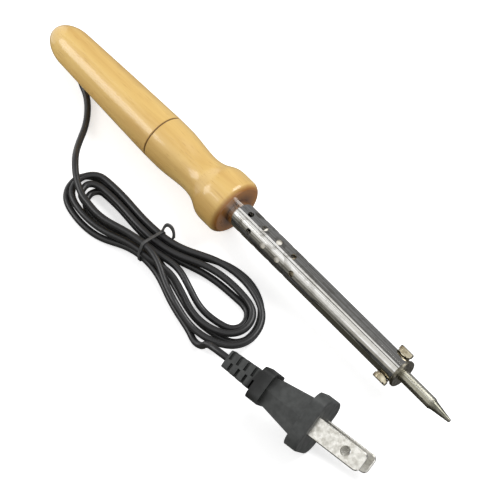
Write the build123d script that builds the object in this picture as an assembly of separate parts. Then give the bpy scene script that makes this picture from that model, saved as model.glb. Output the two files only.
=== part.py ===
from build123d import *
import math
import os

# A 30 W pencil soldering iron with a turned two-piece wooden handle, its cord wound in a tied
# hank, and a moulded two-pin plug. Millimetres. The iron lies along X with its tip towards +X,
# the table is z = 0, and stations along the iron are first counted from the handle's rear end.

# Tip, heater stack and barrel, from the inside out
TIP_RADIUS = 1.95
TIP_LENGTH = 62.0
TIP_REACH = 20.5  # in front of the collar's lip
TIP_FIT = 0.06
POINT_LENGTH = 8.0
POINT_SHOULDER = 1.0
POINT_SHOULDER_DROP = 0.37
POINT_END_RADIUS = 0.62
HEATER_LENGTH = 45.0
HEATER_WALL = 0.44
WRAP_GAP = 0.02
MICA_WALL = 0.13
MICA_LENGTH = 38.0
MICA_INSET = 3.5
WINDING_WALL = 0.38
AIR_GAP = 0.80
BARREL_WALL = 0.40
BARREL_LENGTH = 92.0
VENT_RADIUS = 1.0
VENT_RINGS = 8
VENT_PITCH = 3.32
VENT_INSET = 6.1  # first ring to the handle's face
VENTS_PER_RING = 3
VENT_TURN = 81.3  # degrees from +Y towards +Z, first ring
VENT_STAGGER = 60.0
COLLAR_LENGTH = 7.9
COLLAR_FIT = 0.03
LIP_LENGTH = 1.1
LIP_HEIGHT = 0.45
LIP_CHAMFER = 0.2
BUSHING_LENGTH = 11.5
BUSHING_SOCKET = 2.0

# Tip screws, M2.6
SCREW_RADIUS = 1.3
SCREW_FIT = 0.03
SCREW_INSET = 3.2  # from the barrel's mouth
SCREW_TURN = 21.3  # degrees from +Y towards +Z
SCREW_TIP_GAP = 0.1
SCREW_HOLE_GAP = 0.15
HEAD_RADIUS = 2.55
HEAD_HEIGHT = 1.4
HEAD_CHAMFER = 0.25
SLOT_WIDTH = 0.7
SLOT_DEPTH = 0.6
SLOT_TURN = 35.0
WASHER_RADIUS = 2.3
WASHER_THICKNESS = 0.6
WASHER_FIT = 0.1
WASHER_SEAT_GAP = 0.02

# Wiring inside the handle
LEAD_RADIUS = 0.22
LEAD_FIT = 0.05
SLEEVE_WALL = 0.34
SLEEVE_FIT = 0.04
SLEEVE_GAP = 0.2
CRIMP_RADIUS = 0.75
CRIMP_LENGTH = 8.0
CRIMP_INSET = 2.6  # in front of the handle's joint
CRIMP_LEAD_DEPTH = 4.0
CRIMP_CORE_DEPTH = 3.6
CRIMP_GAP = 0.2
CORE_RADIUS = 0.5
CORE_WIRE_RADIUS = 0.38
CORE_WIRE_FIT = 0.04
CORE_SPREAD = 0.52
CORE_RISE = 1.5
CORE_TURN_RUN = 1.7
CORE_TURN_WAY = (0.438, 0.308, 0.845)
CORE_CROSSING_INSET = 25.4  # behind the joint
CORE_CROSSING_SHARE = 0.7
CORE_STRAIGHT_INSET = 5.4

# Handle
REAR_LENGTH = 55.4
FRONT_LENGTH = 35.8
DOME_LENGTH = 10.6
DOME_RADIUS = 6.5
REAR_MID_INSET = 23.5
REAR_MID_RADIUS = 7.28
WAIST_RADIUS = 7.0
WAIST_INSET = 17.9  # from the front face
GUARD_RADIUS = 9.9
GUARD_LENGTH = 6.2
RIM_DEPTH = 2.3
RIM_DROP = 1.5
JOINT_GROOVE = 0.4
BORE_GAP = 0.1
BORE_INSET = 6.6
SPIGOT_WALL = 1.95
SPIGOT_FIT = 0.05
SPIGOT_LENGTH = 8.8
SPIGOT_END_GAP = 0.2
SOCKET_WALL = 2.36
SEAT_DEPTH = 18.0
SEAT_FIT = 0.03
RETAINER_LENGTH = 1.2
RETAINER_FIT = 0.05

# Cord, its exit and its anchor
CORD_RADIUS = 1.1
CORD_FIT = 0.12
CORD_HOLE_STATION = 9.3
CORD_HOLE_LEAN = 38.0  # degrees forward of square to the axis
CORD_HOLE_TURN = 70.0  # degrees below -Y
CORD_INNER_START = 0.3
CORD_EXIT = 7.6
HANK_RUN_IN = 4.0
HANK_RUN_OUT = 4.5
PLUG_RUN_IN = 4.9
ANCHOR_RADIUS = 1.9
ANCHOR_START = 0.4
ANCHOR_LENGTH = 2.6
ANCHOR_FIT = 0.02

# Hank, in its own frame: where the outermost strand passes, and how the laps lie inside it
HANK_X = -13.3
HANK_Y = -26.05
HANK_TURN = 5.4
LAYER_STEP = 2.8
WAIST_LIFT = 1.0
WAIST_PITCH = 2.82
WAIST_PLACES = (1.5, 0.5, 0.5, 1.5)  # each lap's strands at the waist, in pitches from the middle
RIGHT_LOW = (31.5, -12.4)
RIGHT_END = (45.5, -2.0)
RIGHT_HIGH = (27.0, 13.0)
LEFT_HIGH = (-28.0, 7.2)
LEFT_END = (-36.0, 0.8)
LEFT_LOW = (-20.0, -8.7)
RIGHT_LEAN = 0.3  # shift along the hank for each millimetre of inset
RIGHT_END_LEAN = 0.4
LEFT_HIGH_LEAN = 0.8
LEFT_LOW_LEAN = 0.2
# Each lap's inset at right low, right end, right high, left high, left end and left low
LAP_INSETS = (
    (0.3, 0.0, 1.9, 0.2, 2.2, 1.6),
    (3.7, 3.7, 5.6, 3.2, 5.4, 5.0),
    (7.8, 6.2, 7.2, 3.1, 7.4, 4.0),
    (4.1, 1.8, 0.0, 0.0, 0.0, 0.0),
)
FAN = ((19.0, -9.9), (15.0, -4.1), (15.0, -1.2), (15.0, -4.5))  # each lap's way out of the waist
FAN_FALL = 20.0  # degrees towards -Y
FAN_STEP_DOWN = 0.5  # above the middle layer, where the strand changes to the lower one
HANK_START = (-24.0, -4.0)
HANK_START_FALL = 15.0
HANK_FINISH = (24.5, -11.3)
HANK_FINISH_FALL = 14.0
TIE_RADIUS = 0.45
TIE_GAP = 0.05
TIE_KNOT_TURN = 59.0
TIE_LOOP = ((-0.6, 1.6, 1.9), (1.2, 2.6, 1.9), (3.0, 2.2, 0.3), (3.5, 1.4, -1.6))  # from the knot
TIE_BEND = 0.7

# Plug, NEMA 1-15 blades
BLADE_WIDTH = 6.35
BLADE_THICKNESS = 1.5
BLADE_PITCH = 12.7
BLADE_REACH = 18.3
BLADE_ROOT = 6.2
BLADE_END_ROUND = 1.6
BLADE_EDGE_CHAMFER = 0.3
LOCK_HOLE_RADIUS = 1.6
LOCK_HOLE_REACH = 11.9
PLUG_FIT = 0.03
FLANGE_WIDTH = 18.6
FLANGE_HEIGHT = 20.0
FLANGE_LENGTH = 4.4
FLANGE_ROUND = 5.0
FLANGE_EDGE = 0.7
BODY_LENGTH = 14.0
BODY_FRONT_WIDTH = 12.9
BODY_FRONT_HEIGHT = 17.0
BODY_REAR_WIDTH = 8.85
BODY_REAR_HEIGHT = 11.0
BODY_RIDGE = 1.2
BLOCK_WIDTH = 10.9
BLOCK_HEIGHT = 12.7
BLOCK_LENGTH = 4.2
BLOCK_ROUND = 2.4
RELIEF_LENGTH = 11.9
RELIEF_FRONT_WIDTH = 7.0
RELIEF_REAR_WIDTH = 5.9
RELIEF_ROUND = 0.9
RELIEF_SLOTS = 4
RELIEF_SLOT_PITCH = 2.8
RELIEF_SLOT_WIDTH = 0.95
RELIEF_SLOT_INSET = 0.95
RELIEF_WEB = 0.5
RELIEF_CORE_WALL = 0.45
BRIDGE_INSET = 1.0
BRIDGE_COVER = 0.2
BRIDGE_WALL = 1.0
PLUG_CRIMP_RADIUS = 0.95
PLUG_CRIMP_LENGTH = 4.8
PLUG_CRIMP_BORE = 3.4
PLUG_CRIMP_INSET = 5.4
PLUG_CORD_LENGTH = 15.2
PLUG_CORE_RUN = 1.8
PLUG_X = 70.7  # front face of the flange
PLUG_Y = -31.3
PLUG_Z = 11.36
PLUG_HEADING = 9.6
PLUG_PITCH = 3.0
PLUG_ROLL = 25.9

# Radii worked out from the tip outwards
heater_bore = TIP_RADIUS + TIP_FIT
heater_radius = heater_bore + HEATER_WALL
mica_inner_radius = heater_radius + WRAP_GAP + MICA_WALL
winding_inner = mica_inner_radius + WRAP_GAP
winding_radius = winding_inner + WINDING_WALL
mica_outer_radius = winding_radius + WRAP_GAP + MICA_WALL
barrel_inner = mica_outer_radius + AIR_GAP
barrel_radius = barrel_inner + BARREL_WALL
collar_radius = barrel_inner - COLLAR_FIT
lip_radius = barrel_radius + LIP_HEIGHT
lead_offset = (winding_inner + winding_radius) / 2
bore_radius = lead_offset + CRIMP_RADIUS + BORE_GAP
seat_radius = barrel_radius + SEAT_FIT
spigot_radius = bore_radius + SPIGOT_WALL
socket_radius = spigot_radius + SPIGOT_FIT
joint_radius = socket_radius + SOCKET_WALL
washer_seat = barrel_radius + WASHER_SEAT_GAP
head_seat = washer_seat + WASHER_THICKNESS

# Stations along the iron, from the rear end
joint = REAR_LENGTH
face = joint + FRONT_LENGTH
seat_start = face - SEAT_DEPTH
barrel_start = seat_start + RETAINER_LENGTH
barrel_end = barrel_start + BARREL_LENGTH
lip_end = barrel_end + LIP_LENGTH
total_length = lip_end + TIP_REACH
tip_start = total_length - TIP_LENGTH
collar_start = barrel_end - COLLAR_LENGTH
heater_start = collar_start - HEATER_LENGTH
bushing_end = heater_start + BUSHING_SOCKET
bushing_start = bushing_end - BUSHING_LENGTH
mica_start = heater_start + MICA_INSET
mica_end = mica_start + MICA_LENGTH
spigot_start = joint - SPIGOT_LENGTH
socket_start = spigot_start - SPIGOT_END_GAP
crimp_start = joint + CRIMP_INSET
crimp_end = crimp_start + CRIMP_LENGTH
screw_station = barrel_end - SCREW_INSET
first_vent = face + VENT_INSET

iron_place = Pos(-total_length / 2, 0, GUARD_RADIUS)
hank_place = Location((HANK_X, HANK_Y, 0), (0, 0, HANK_TURN))
plug_place = Pos(PLUG_X, PLUG_Y, PLUG_Z) * Rot(0, 0, PLUG_HEADING) * Rot(0, PLUG_PITCH, 0) * Rot(PLUG_ROLL, 0, 0)

BASE = (Align.CENTER, Align.CENTER, Align.MIN)


def rod(radius, start, end, hole=0.0, y=0.0, z=0.0):
    """A round bar or, with a hole, a tube along the X axis between two stations."""
    bar = Cylinder(radius, end - start, align=BASE)
    if hole:
        bar -= Cylinder(hole, end - start, align=BASE)
    return Pos(start, y, z) * Rot(0, 90, 0) * bar


def turned(outline):
    """The solid turned about the X axis from an outline that starts and ends on it."""
    return revolve(make_face(outline), Axis.X)


def radial(station, turn):
    """The place on the iron's axis whose Z points out at an angle from +Y towards +Z."""
    return Pos(station, 0, 0) * Rot(turn - 90, 0, 0)


def tube(path, radius):
    """A round tube swept along a path."""
    section = Plane(origin=path @ 0, z_dir=path % 0) * Circle(radius)
    return sweep(section, path=path)


# Handle ---------------------------------------------------------------------------------------


def cord_axis():
    """Where the cord's hole starts on the handle's axis, and the way it points."""
    lean, turn = math.radians(CORD_HOLE_LEAN), math.radians(CORD_HOLE_TURN)
    across = math.cos(lean)
    way = Vector(math.sin(lean), -across * math.cos(turn), -across * math.sin(turn))
    return Vector(CORD_HOLE_STATION, 0, 0), way


def along_cord_hole(radius, start, end, hole=0.0):
    """A round bar or tube along the cord's hole, between two distances from the axis."""
    origin, way = cord_axis()
    bar = Cylinder(radius, end - start, align=BASE)
    if hole:
        bar -= Cylinder(hole, end - start, align=BASE)
    return Plane(origin=origin + way * start, z_dir=way).location * bar


def rear_handle():
    dome = EllipticalCenterArc((DOME_LENGTH, 0), DOME_LENGTH, DOME_RADIUS, 90, arc_size=90)
    mid = (joint - REAR_MID_INSET, REAR_MID_RADIUS)
    shoulder = (joint - JOINT_GROOVE, joint_radius)
    skin = Spline((DOME_LENGTH, DOME_RADIUS), mid, shoulder)
    ends = Polyline(shoulder, (joint, joint_radius - JOINT_GROOVE), (joint, 0), (0, 0))
    body = turned(dome + skin + ends)
    body -= rod(bore_radius, BORE_INSET, joint)
    body -= rod(socket_radius, socket_start, joint)
    return body - along_cord_hole(CORD_RADIUS + CORD_FIT, 0, 2 * GUARD_RADIUS)


def front_handle():
    waist = face - WAIST_INSET
    neck = waist - joint
    flare = GUARD_RADIUS - WAIST_RADIUS
    start = (joint + JOINT_GROOVE, joint_radius)
    rim = (face - RIM_DEPTH, GUARD_RADIUS)
    skin = Spline(
        start,
        (joint + 0.42 * neck, WAIST_RADIUS + 0.88 * (joint_radius - WAIST_RADIUS)),
        (joint + 0.71 * neck, WAIST_RADIUS + 0.36 * (joint_radius - WAIST_RADIUS)),
        (waist, WAIST_RADIUS),
        (face - 2 * GUARD_LENGTH, WAIST_RADIUS + 0.36 * flare),
        (face - 1.6 * GUARD_LENGTH, WAIST_RADIUS + 0.78 * flare),
        (face - GUARD_LENGTH, GUARD_RADIUS),
        tangents=((1, 0), (1, 0)),
    )
    guard = Line((face - GUARD_LENGTH, GUARD_RADIUS), rim)
    edge = TangentArc(rim, (face, GUARD_RADIUS - RIM_DROP), tangent=(1, 0))
    ends = Polyline(
        (face, GUARD_RADIUS - RIM_DROP), (face, 0), (joint, 0), (joint, joint_radius - JOINT_GROOVE), start
    )
    body = turned(skin + guard + edge + ends)
    body += rod(spigot_radius, spigot_start, joint)
    body -= rod(bore_radius, spigot_start, seat_start)
    return body - rod(seat_radius, seat_start, face)


def barrel_retainer():
    return rod(seat_radius - RETAINER_FIT, seat_start, barrel_start, hole=bore_radius + RETAINER_FIT)


# Barrel, collar, tip and screws ------------------------------------------------------------------


def barrel():
    body = rod(barrel_radius, barrel_start, barrel_end, hole=barrel_inner)
    for ring in range(VENT_RINGS):
        turn = VENT_TURN + (ring % 2) * VENT_STAGGER
        for vent in range(VENTS_PER_RING):
            place = radial(first_vent + ring * VENT_PITCH, turn + vent * 360 / VENTS_PER_RING)
            body -= place * Cylinder(VENT_RADIUS, 2 * barrel_radius, align=BASE)
    for side in (0, 180):
        hole = Cylinder(SCREW_RADIUS + SCREW_HOLE_GAP, 2 * barrel_radius, align=BASE)
        body -= radial(screw_station, SCREW_TURN + side) * hole
    return body


def barrel_collar():
    outline = Polyline(
        (collar_start, heater_bore),
        (collar_start, collar_radius),
        (barrel_end, collar_radius),
        (barrel_end, lip_radius - LIP_CHAMFER),
        (barrel_end + LIP_CHAMFER, lip_radius),
        (lip_end - LIP_CHAMFER, lip_radius),
        (lip_end, lip_radius - LIP_CHAMFER),
        (lip_end, heater_bore),
        close=True,
    )
    body = turned(outline)
    for side in (0, 180):
        hole = Cylinder(SCREW_RADIUS + SCREW_FIT, 2 * barrel_radius, align=BASE)
        body -= radial(screw_station, SCREW_TURN + side) * hole
    return body


def tip():
    shoulder = total_length - POINT_LENGTH
    cone_radius = TIP_RADIUS - POINT_SHOULDER_DROP
    nose_start = total_length - POINT_END_RADIUS
    outline = Polyline(
        (tip_start, 0),
        (tip_start, TIP_RADIUS - POINT_SHOULDER_DROP),
        (tip_start + POINT_SHOULDER_DROP, TIP_RADIUS),
        (shoulder, TIP_RADIUS),
        (shoulder + POINT_SHOULDER, cone_radius),
        (nose_start, POINT_END_RADIUS),
    )
    nose = CenterArc((nose_start, 0), POINT_END_RADIUS, 90, -90)
    return turned(outline + nose + Line((total_length, 0), (tip_start, 0)))


def tip_screw(side):
    length = head_seat - TIP_RADIUS - SCREW_TIP_GAP
    shank = Pos(0, 0, TIP_RADIUS + SCREW_TIP_GAP) * Cylinder(SCREW_RADIUS, length, align=BASE)
    head = Pos(0, 0, head_seat) * Cylinder(HEAD_RADIUS, HEAD_HEIGHT, align=BASE)
    head = chamfer(head.edges().group_by(Axis.Z)[-1], HEAD_CHAMFER)
    slot = Box(3 * HEAD_RADIUS, SLOT_WIDTH, SLOT_DEPTH, align=BASE)
    head -= Pos(0, 0, head_seat + HEAD_HEIGHT - SLOT_DEPTH) * Rot(0, 0, SLOT_TURN) * slot
    return radial(screw_station, SCREW_TURN + side) * (shank + head)


def tip_washer(side):
    ring = Cylinder(WASHER_RADIUS, WASHER_THICKNESS, align=BASE)
    ring -= Cylinder(SCREW_RADIUS + WASHER_FIT, WASHER_THICKNESS, align=BASE)
    return radial(screw_station, SCREW_TURN + side) * Pos(0, 0, washer_seat) * ring


# Heater and its leads -----------------------------------------------------------------------------


def heater_core():
    return rod(heater_radius, heater_start, collar_start, hole=heater_bore)


def mica_inner():
    return rod(mica_inner_radius, mica_start, mica_end, hole=heater_radius + WRAP_GAP)


def heater_winding():
    return rod(winding_radius, mica_start, mica_end, hole=winding_inner)


def mica_outer():
    return rod(mica_outer_radius, mica_start, mica_end, hole=winding_radius + WRAP_GAP)


def insulator_bushing():
    body = rod(collar_radius, bushing_start, bushing_end)
    body -= rod(heater_radius + WRAP_GAP, heater_start, bushing_end)
    for y in (-lead_offset, lead_offset):
        body -= rod(LEAD_RADIUS + LEAD_FIT, bushing_start, bushing_end, y=y)
    return body


def heater_lead(y):
    return rod(LEAD_RADIUS, crimp_end - CRIMP_LEAD_DEPTH + CRIMP_GAP, mica_start, y=y)


def lead_sleeve(y):
    bore = LEAD_RADIUS + SLEEVE_FIT
    return rod(bore + SLEEVE_WALL, crimp_end + SLEEVE_GAP, bushing_start - SLEEVE_GAP, hole=bore, y=y)


def crimp(y):
    body = rod(CRIMP_RADIUS, crimp_start, crimp_end, y=y)
    body -= rod(CORE_WIRE_RADIUS + CORE_WIRE_FIT, crimp_start, crimp_start + CRIMP_CORE_DEPTH, y=y)
    return body - rod(LEAD_RADIUS + LEAD_FIT, crimp_end - CRIMP_LEAD_DEPTH, crimp_end, y=y)


def core(y):
    """One insulated core, from the cord's sheath to its crimp."""
    origin, way = cord_axis()
    sideways = Vector(1, 0, 0).cross(way).normalized() * math.copysign(CORE_SPREAD, y)
    start = origin + way * CORD_INNER_START + sideways
    rise = start - way * CORE_RISE
    over = rise + Vector(*CORE_TURN_WAY) * CORE_TURN_RUN
    insulated_end = crimp_start - CRIMP_GAP
    points = [start, rise, over]
    points.append(Vector(joint - CORE_CROSSING_INSET, CORE_CROSSING_SHARE * y, 0))
    points.append(Vector(joint - CORE_STRAIGHT_INSET, y, 0))
    points.append(Vector(insulated_end, y, 0))
    body = route(points, CORE_RADIUS, "core")
    return body + rod(CORE_WIRE_RADIUS, insulated_end, crimp_start + CRIMP_CORE_DEPTH - CRIMP_GAP, y=y)


# Cord --------------------------------------------------------------------------------------------


def bend_radii(points):
    """Each corner's arc: 0.45 of its shorter run, over the tangent of half the turn."""
    radii = []
    for before, corner, after in zip(points, points[1:], points[2:]):
        run_in, run_out = corner - before, after - corner
        half_turn = math.radians(run_in.get_angle(run_out)) / 2
        radii.append(0.45 * min(run_in.length, run_out.length) / math.tan(half_turn))
    return radii


def route(points, radius, name):
    """A tube along straight runs joined by tangent arcs."""
    points = [Vector(*point) for point in points]
    radii = bend_radii(points)
    print(name, "bend radii", [round(bend, 1) for bend in radii])
    path = FilletPolyline(*points, radius=radii)
    body = tube(path, radius)
    swept = math.pi * radius**2 * path.length
    print(name, "length", round(path.length, 1), "volume ratio", round(body.volume / swept, 4))
    return body


def cord_inner():
    return along_cord_hole(CORD_RADIUS, CORD_INNER_START, CORD_EXIT)


def cord_anchor():
    end = ANCHOR_START + ANCHOR_LENGTH
    return along_cord_hole(ANCHOR_RADIUS, ANCHOR_START, end, hole=CORD_RADIUS + ANCHOR_FIT)


def cord_lead():
    origin, way = cord_axis()
    start = iron_place.position + origin + way * CORD_EXIT
    end, heading = hank_point(*hank_stations()[0])
    points = [
        start,
        (-77.6, -3.13, 1.3),
        (-71.2, -5.2, 1.25),
        (-63.6, -11.6, 1.3),
        (-57.8, -20.0, 3.2),
        (-52.4, -25.2, 6.9),
        (-46.4, -29.5, 7.0),
        end - heading * HANK_RUN_IN,
        end,
    ]
    return route(points, CORD_RADIUS, "cord_lead")


def cord_tail():
    start, heading = hank_point(*hank_stations()[-1])
    relief_end = Pos(-plug_rear, 0, 0)
    end = (plug_place * relief_end).position
    arrival = end - (plug_place * Pos(-plug_rear - PLUG_RUN_IN, 0, 0)).position
    points = [
        start,
        start + heading * HANK_RUN_OUT,
        (20.7, -37.3, 1.6),
        (24.6, -37.4, 4.3),
        (27.3, -37.8, 10.8),
        end - arrival,
        end,
    ]
    return route(points, CORD_RADIUS, "cord_tail")


# Hank ----------------------------------------------------------------------------------------------

low_layer = CORD_RADIUS
mid_layer = low_layer + LAYER_STEP
top_layer = mid_layer + LAYER_STEP

RIGHT, LEFT = Vector(1, 0, 0), Vector(-1, 0, 0)
UP, DOWN = Vector(0, 1, 0), Vector(0, -1, 0)


def falling(degrees):
    """The way to the right that falls towards -Y by an angle."""
    return Vector(math.cos(math.radians(degrees)), -math.sin(math.radians(degrees)), 0)


def hank_lap(insets, z, waist):
    """The stations of one lap, given how far in from the outermost strand it lies at each."""
    low, end, high, far_high, far_end, far_low = insets
    return [
        (Vector(RIGHT_LOW[0] - RIGHT_LEAN * low, RIGHT_LOW[1] + low, z), RIGHT),
        (Vector(RIGHT_END[0] - end, RIGHT_END[1] + RIGHT_END_LEAN * end, z), UP),
        (Vector(RIGHT_HIGH[0] - RIGHT_LEAN * high, RIGHT_HIGH[1] - high, z), LEFT),
        (Vector(0, waist, z + WAIST_LIFT), LEFT),
        (Vector(LEFT_HIGH[0] + LEFT_HIGH_LEAN * far_high, LEFT_HIGH[1] - far_high, z), LEFT),
        (Vector(LEFT_END[0] + far_end, LEFT_END[1], z), DOWN),
        (Vector(LEFT_LOW[0] + LEFT_LOW_LEAN * far_low, LEFT_LOW[1] + far_low, z), RIGHT),
        (Vector(0, -waist, z + WAIST_LIFT), RIGHT),
    ]


def hank_stations():
    """Points and headings of the hank's strand, in its own frame, from the lead to the tail."""
    stations = [(Vector(*HANK_START, top_layer), falling(HANK_START_FALL))]
    stations.append((Vector(0, -WAIST_PITCH, top_layer + WAIST_LIFT), RIGHT))
    layers = (mid_layer, mid_layer, low_layer, low_layer)
    fan_heights = (top_layer, mid_layer, mid_layer + FAN_STEP_DOWN, low_layer)
    for fan, fan_height, insets, layer, place in zip(FAN, fan_heights, LAP_INSETS, layers, WAIST_PLACES):
        stations.append((Vector(*fan, fan_height), falling(FAN_FALL)))
        stations += hank_lap(insets, layer, place * WAIST_PITCH)
    stations.append((Vector(*HANK_FINISH, low_layer), falling(HANK_FINISH_FALL)))
    return stations


def hank_point(point, heading):
    """A station of the hank in the part's frame."""
    turned_way = heading.rotate(Axis.Z, HANK_TURN)
    return (hank_place * Pos(*point)).position, turned_way


def biarc(start, start_way, end, end_way):
    """Two tangent arcs from one station to the next."""
    chord, ways = end - start, start_way + end_way
    spread = 2 * (1 - start_way.dot(end_way))
    if spread < 1e-9:
        reach = chord.dot(chord) / (4 * chord.dot(end_way))
    else:
        lean = chord.dot(ways)
        reach = (math.sqrt(lean * lean + spread * chord.dot(chord)) - lean) / spread
    middle = (start + end + (start_way - end_way) * reach) * 0.5
    half = middle - start
    middle_way = half * (2 * half.dot(start_way) / half.dot(half)) - start_way
    return [
        Edge.make_tangent_arc(start, start_way, middle),
        Edge.make_tangent_arc(middle, middle_way, end),
    ]


def strand_gap(edges, step=0.6, skip=8.0):
    """The least gap between stretches of the strand that lie further apart along it than skip."""
    samples, travelled = [], 0.0
    for edge in edges:
        count = max(2, math.ceil(edge.length / step))
        for index in range(count):
            point = edge.position_at(index / count)
            samples.append((travelled + edge.length * index / count, point.X, point.Y, point.Z))
        travelled += edge.length
    least = math.inf
    for index, (at, x, y, z) in enumerate(samples):
        for other_at, other_x, other_y, other_z in samples[index + 1 :]:
            if other_at - at > skip:
                least = min(least, (x - other_x) ** 2 + (y - other_y) ** 2 + (z - other_z) ** 2)
    return math.sqrt(least) - 2 * CORD_RADIUS


def cord_hank():
    stations = hank_stations()
    edges = []
    for (start, start_way), (end, end_way) in zip(stations, stations[1:]):
        edges += biarc(start, start_way, end, end_way)
    bends = [edge.radius for edge in edges if edge.geom_type == GeomType.CIRCLE]
    print("cord_hank least gap to itself", round(strand_gap(edges), 3), "tightest bend", round(min(bends), 2))
    path = Wire(edges)
    body = tube(path, CORD_RADIUS)
    swept = math.pi * CORD_RADIUS**2 * path.length
    print("cord_hank length", round(path.length, 1), "volume ratio", round(body.volume / swept, 4))
    return hank_place * body


def cord_tie():
    """A wire loop round the strands at the waist, with a twisted end that stands up."""
    side = max(WAIST_PLACES) * WAIST_PITCH
    low, high = low_layer + WAIST_LIFT, mid_layer + WAIST_LIFT
    strands = Polygon(
        (-side, low), (side, low), (side, high), (-WAIST_PITCH, top_layer + WAIST_LIFT), (-side, high), align=None
    )
    reach = CORD_RADIUS + TIE_GAP + TIE_RADIUS
    loop = offset(strands, reach, kind=Kind.ARC)
    ring = (Plane.YZ * loop).face().outer_wire()
    body = tube(ring, TIE_RADIUS)
    knot_turn = math.radians(TIE_KNOT_TURN)
    knot = Vector(0, side + reach * math.cos(knot_turn), high + reach * math.sin(knot_turn))
    twist = FilletPolyline(knot, *(knot + Vector(*step) for step in TIE_LOOP), radius=TIE_BEND)
    return hank_place * (body + tube(twist, TIE_RADIUS))


# Plug: modelled with its flange's front face at the origin, blades towards +X, stacked along Z ---

body_rear = FLANGE_LENGTH + BODY_LENGTH
block_rear = body_rear + BLOCK_LENGTH
plug_rear = block_rear + RELIEF_LENGTH
plug_cord_front = plug_rear - PLUG_CORD_LENGTH
plug_crimp_offset = (BLADE_PITCH - BLADE_THICKNESS) / 2 - PLUG_CRIMP_RADIUS
plug_crimp_rear = PLUG_CRIMP_INSET + PLUG_CRIMP_LENGTH
bridge_width = BLADE_WIDTH + 2 * BRIDGE_WALL
bridge_height = BLADE_PITCH + BLADE_THICKNESS + 2 * BRIDGE_WALL


def block(width, height, rear, front, rounding=0.0):
    """A block across Y and Z between two distances behind the flange's face."""
    section = RectangleRounded(width, height, rounding) if rounding else Rectangle(width, height)
    return extrude(Plane(origin=(-rear, 0, 0), x_dir=(0, 1, 0), z_dir=(1, 0, 0)) * section, rear - front)


def ridged_section(width, height, distance):
    """The plug body's six-sided section, with a ridge down the middle of both broad faces."""
    shoulder = height / 2 - BODY_RIDGE
    corners = [(-width / 2, -shoulder), (0, -height / 2), (width / 2, -shoulder)]
    corners += [(-y, -z) for y, z in corners]
    return Plane(origin=(-distance, 0, 0), x_dir=(0, 1, 0), z_dir=(1, 0, 0)) * Polygon(*corners, align=None)


def blade_blank(z, grow=0.0):
    bar = Box(BLADE_REACH + BLADE_ROOT, BLADE_WIDTH + 2 * grow, BLADE_THICKNESS + 2 * grow)
    return Pos((BLADE_REACH - BLADE_ROOT) / 2, 0, z) * bar


def blade(z):
    bar = blade_blank(z)
    tips = bar.edges().filter_by(Axis.Z).group_by(Axis.X)[-1]
    bar = fillet(tips, BLADE_END_ROUND)
    bar = chamfer(bar.faces().sort_by(Axis.X)[-1].edges().filter_by(Axis.Y), BLADE_EDGE_CHAMFER)
    return bar - Pos(LOCK_HOLE_REACH, 0, z) * Cylinder(LOCK_HOLE_RADIUS, 2 * BLADE_THICKNESS)


def plug_bridge(grow=0.0):
    rear = FLANGE_LENGTH - BRIDGE_COVER
    body = block(bridge_width + 2 * grow, bridge_height + 2 * grow, rear + grow, BRIDGE_INSET - grow)
    if not grow:
        for z in (-BLADE_PITCH / 2, BLADE_PITCH / 2):
            body -= blade_blank(z, PLUG_FIT)
    return body


def plug_crimp(z, grow=0.0):
    body = rod(PLUG_CRIMP_RADIUS + grow, -plug_crimp_rear - grow, -PLUG_CRIMP_INSET + grow, z=z)
    if grow:
        return body
    return body - rod(CORE_WIRE_RADIUS + CORE_WIRE_FIT, -plug_crimp_rear, -plug_crimp_rear + PLUG_CRIMP_BORE, z=z)


def plug_core(z, grow=0.0):
    side = math.copysign(CORE_SPREAD, z)
    rear, front = -plug_cord_front, -plug_crimp_rear - CRIMP_GAP
    points = [(rear, 0, side), (rear + PLUG_CORE_RUN, 0, side), (front - PLUG_CORE_RUN, 0, z), (front, 0, z)]
    body = route(points, CORE_RADIUS + grow, "plug_core")
    wire_end = -plug_crimp_rear + PLUG_CRIMP_BORE - CRIMP_GAP
    return body + rod(CORE_WIRE_RADIUS + grow, front, wire_end, z=z)


def plug_cord(grow=0.0):
    return rod(CORD_RADIUS + grow, -plug_rear, -plug_cord_front + grow)


def strain_relief():
    front = Plane(origin=(-block_rear, 0, 0), x_dir=(0, 1, 0), z_dir=(1, 0, 0))
    rear = Plane(origin=(-plug_rear, 0, 0), x_dir=(0, 1, 0), z_dir=(1, 0, 0))
    wide = front * RectangleRounded(RELIEF_FRONT_WIDTH, RELIEF_FRONT_WIDTH, RELIEF_ROUND)
    narrow = rear * RectangleRounded(RELIEF_REAR_WIDTH, RELIEF_REAR_WIDTH, RELIEF_ROUND)
    body = loft([narrow, wide], ruled=True)
    slot = Box(RELIEF_SLOT_WIDTH, RELIEF_FRONT_WIDTH, RELIEF_FRONT_WIDTH)
    reach = CORD_RADIUS + RELIEF_CORE_WALL + RELIEF_FRONT_WIDTH / 2
    for index in range(2 * RELIEF_SLOTS):
        x = -block_rear - RELIEF_SLOT_INSET - index * RELIEF_SLOT_PITCH / 2
        y = (RELIEF_WEB + RELIEF_FRONT_WIDTH) / 2 * (1 if index % 2 else -1)
        for z in (-reach, reach):
            body -= Pos(x, y, z) * slot
    return body


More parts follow.
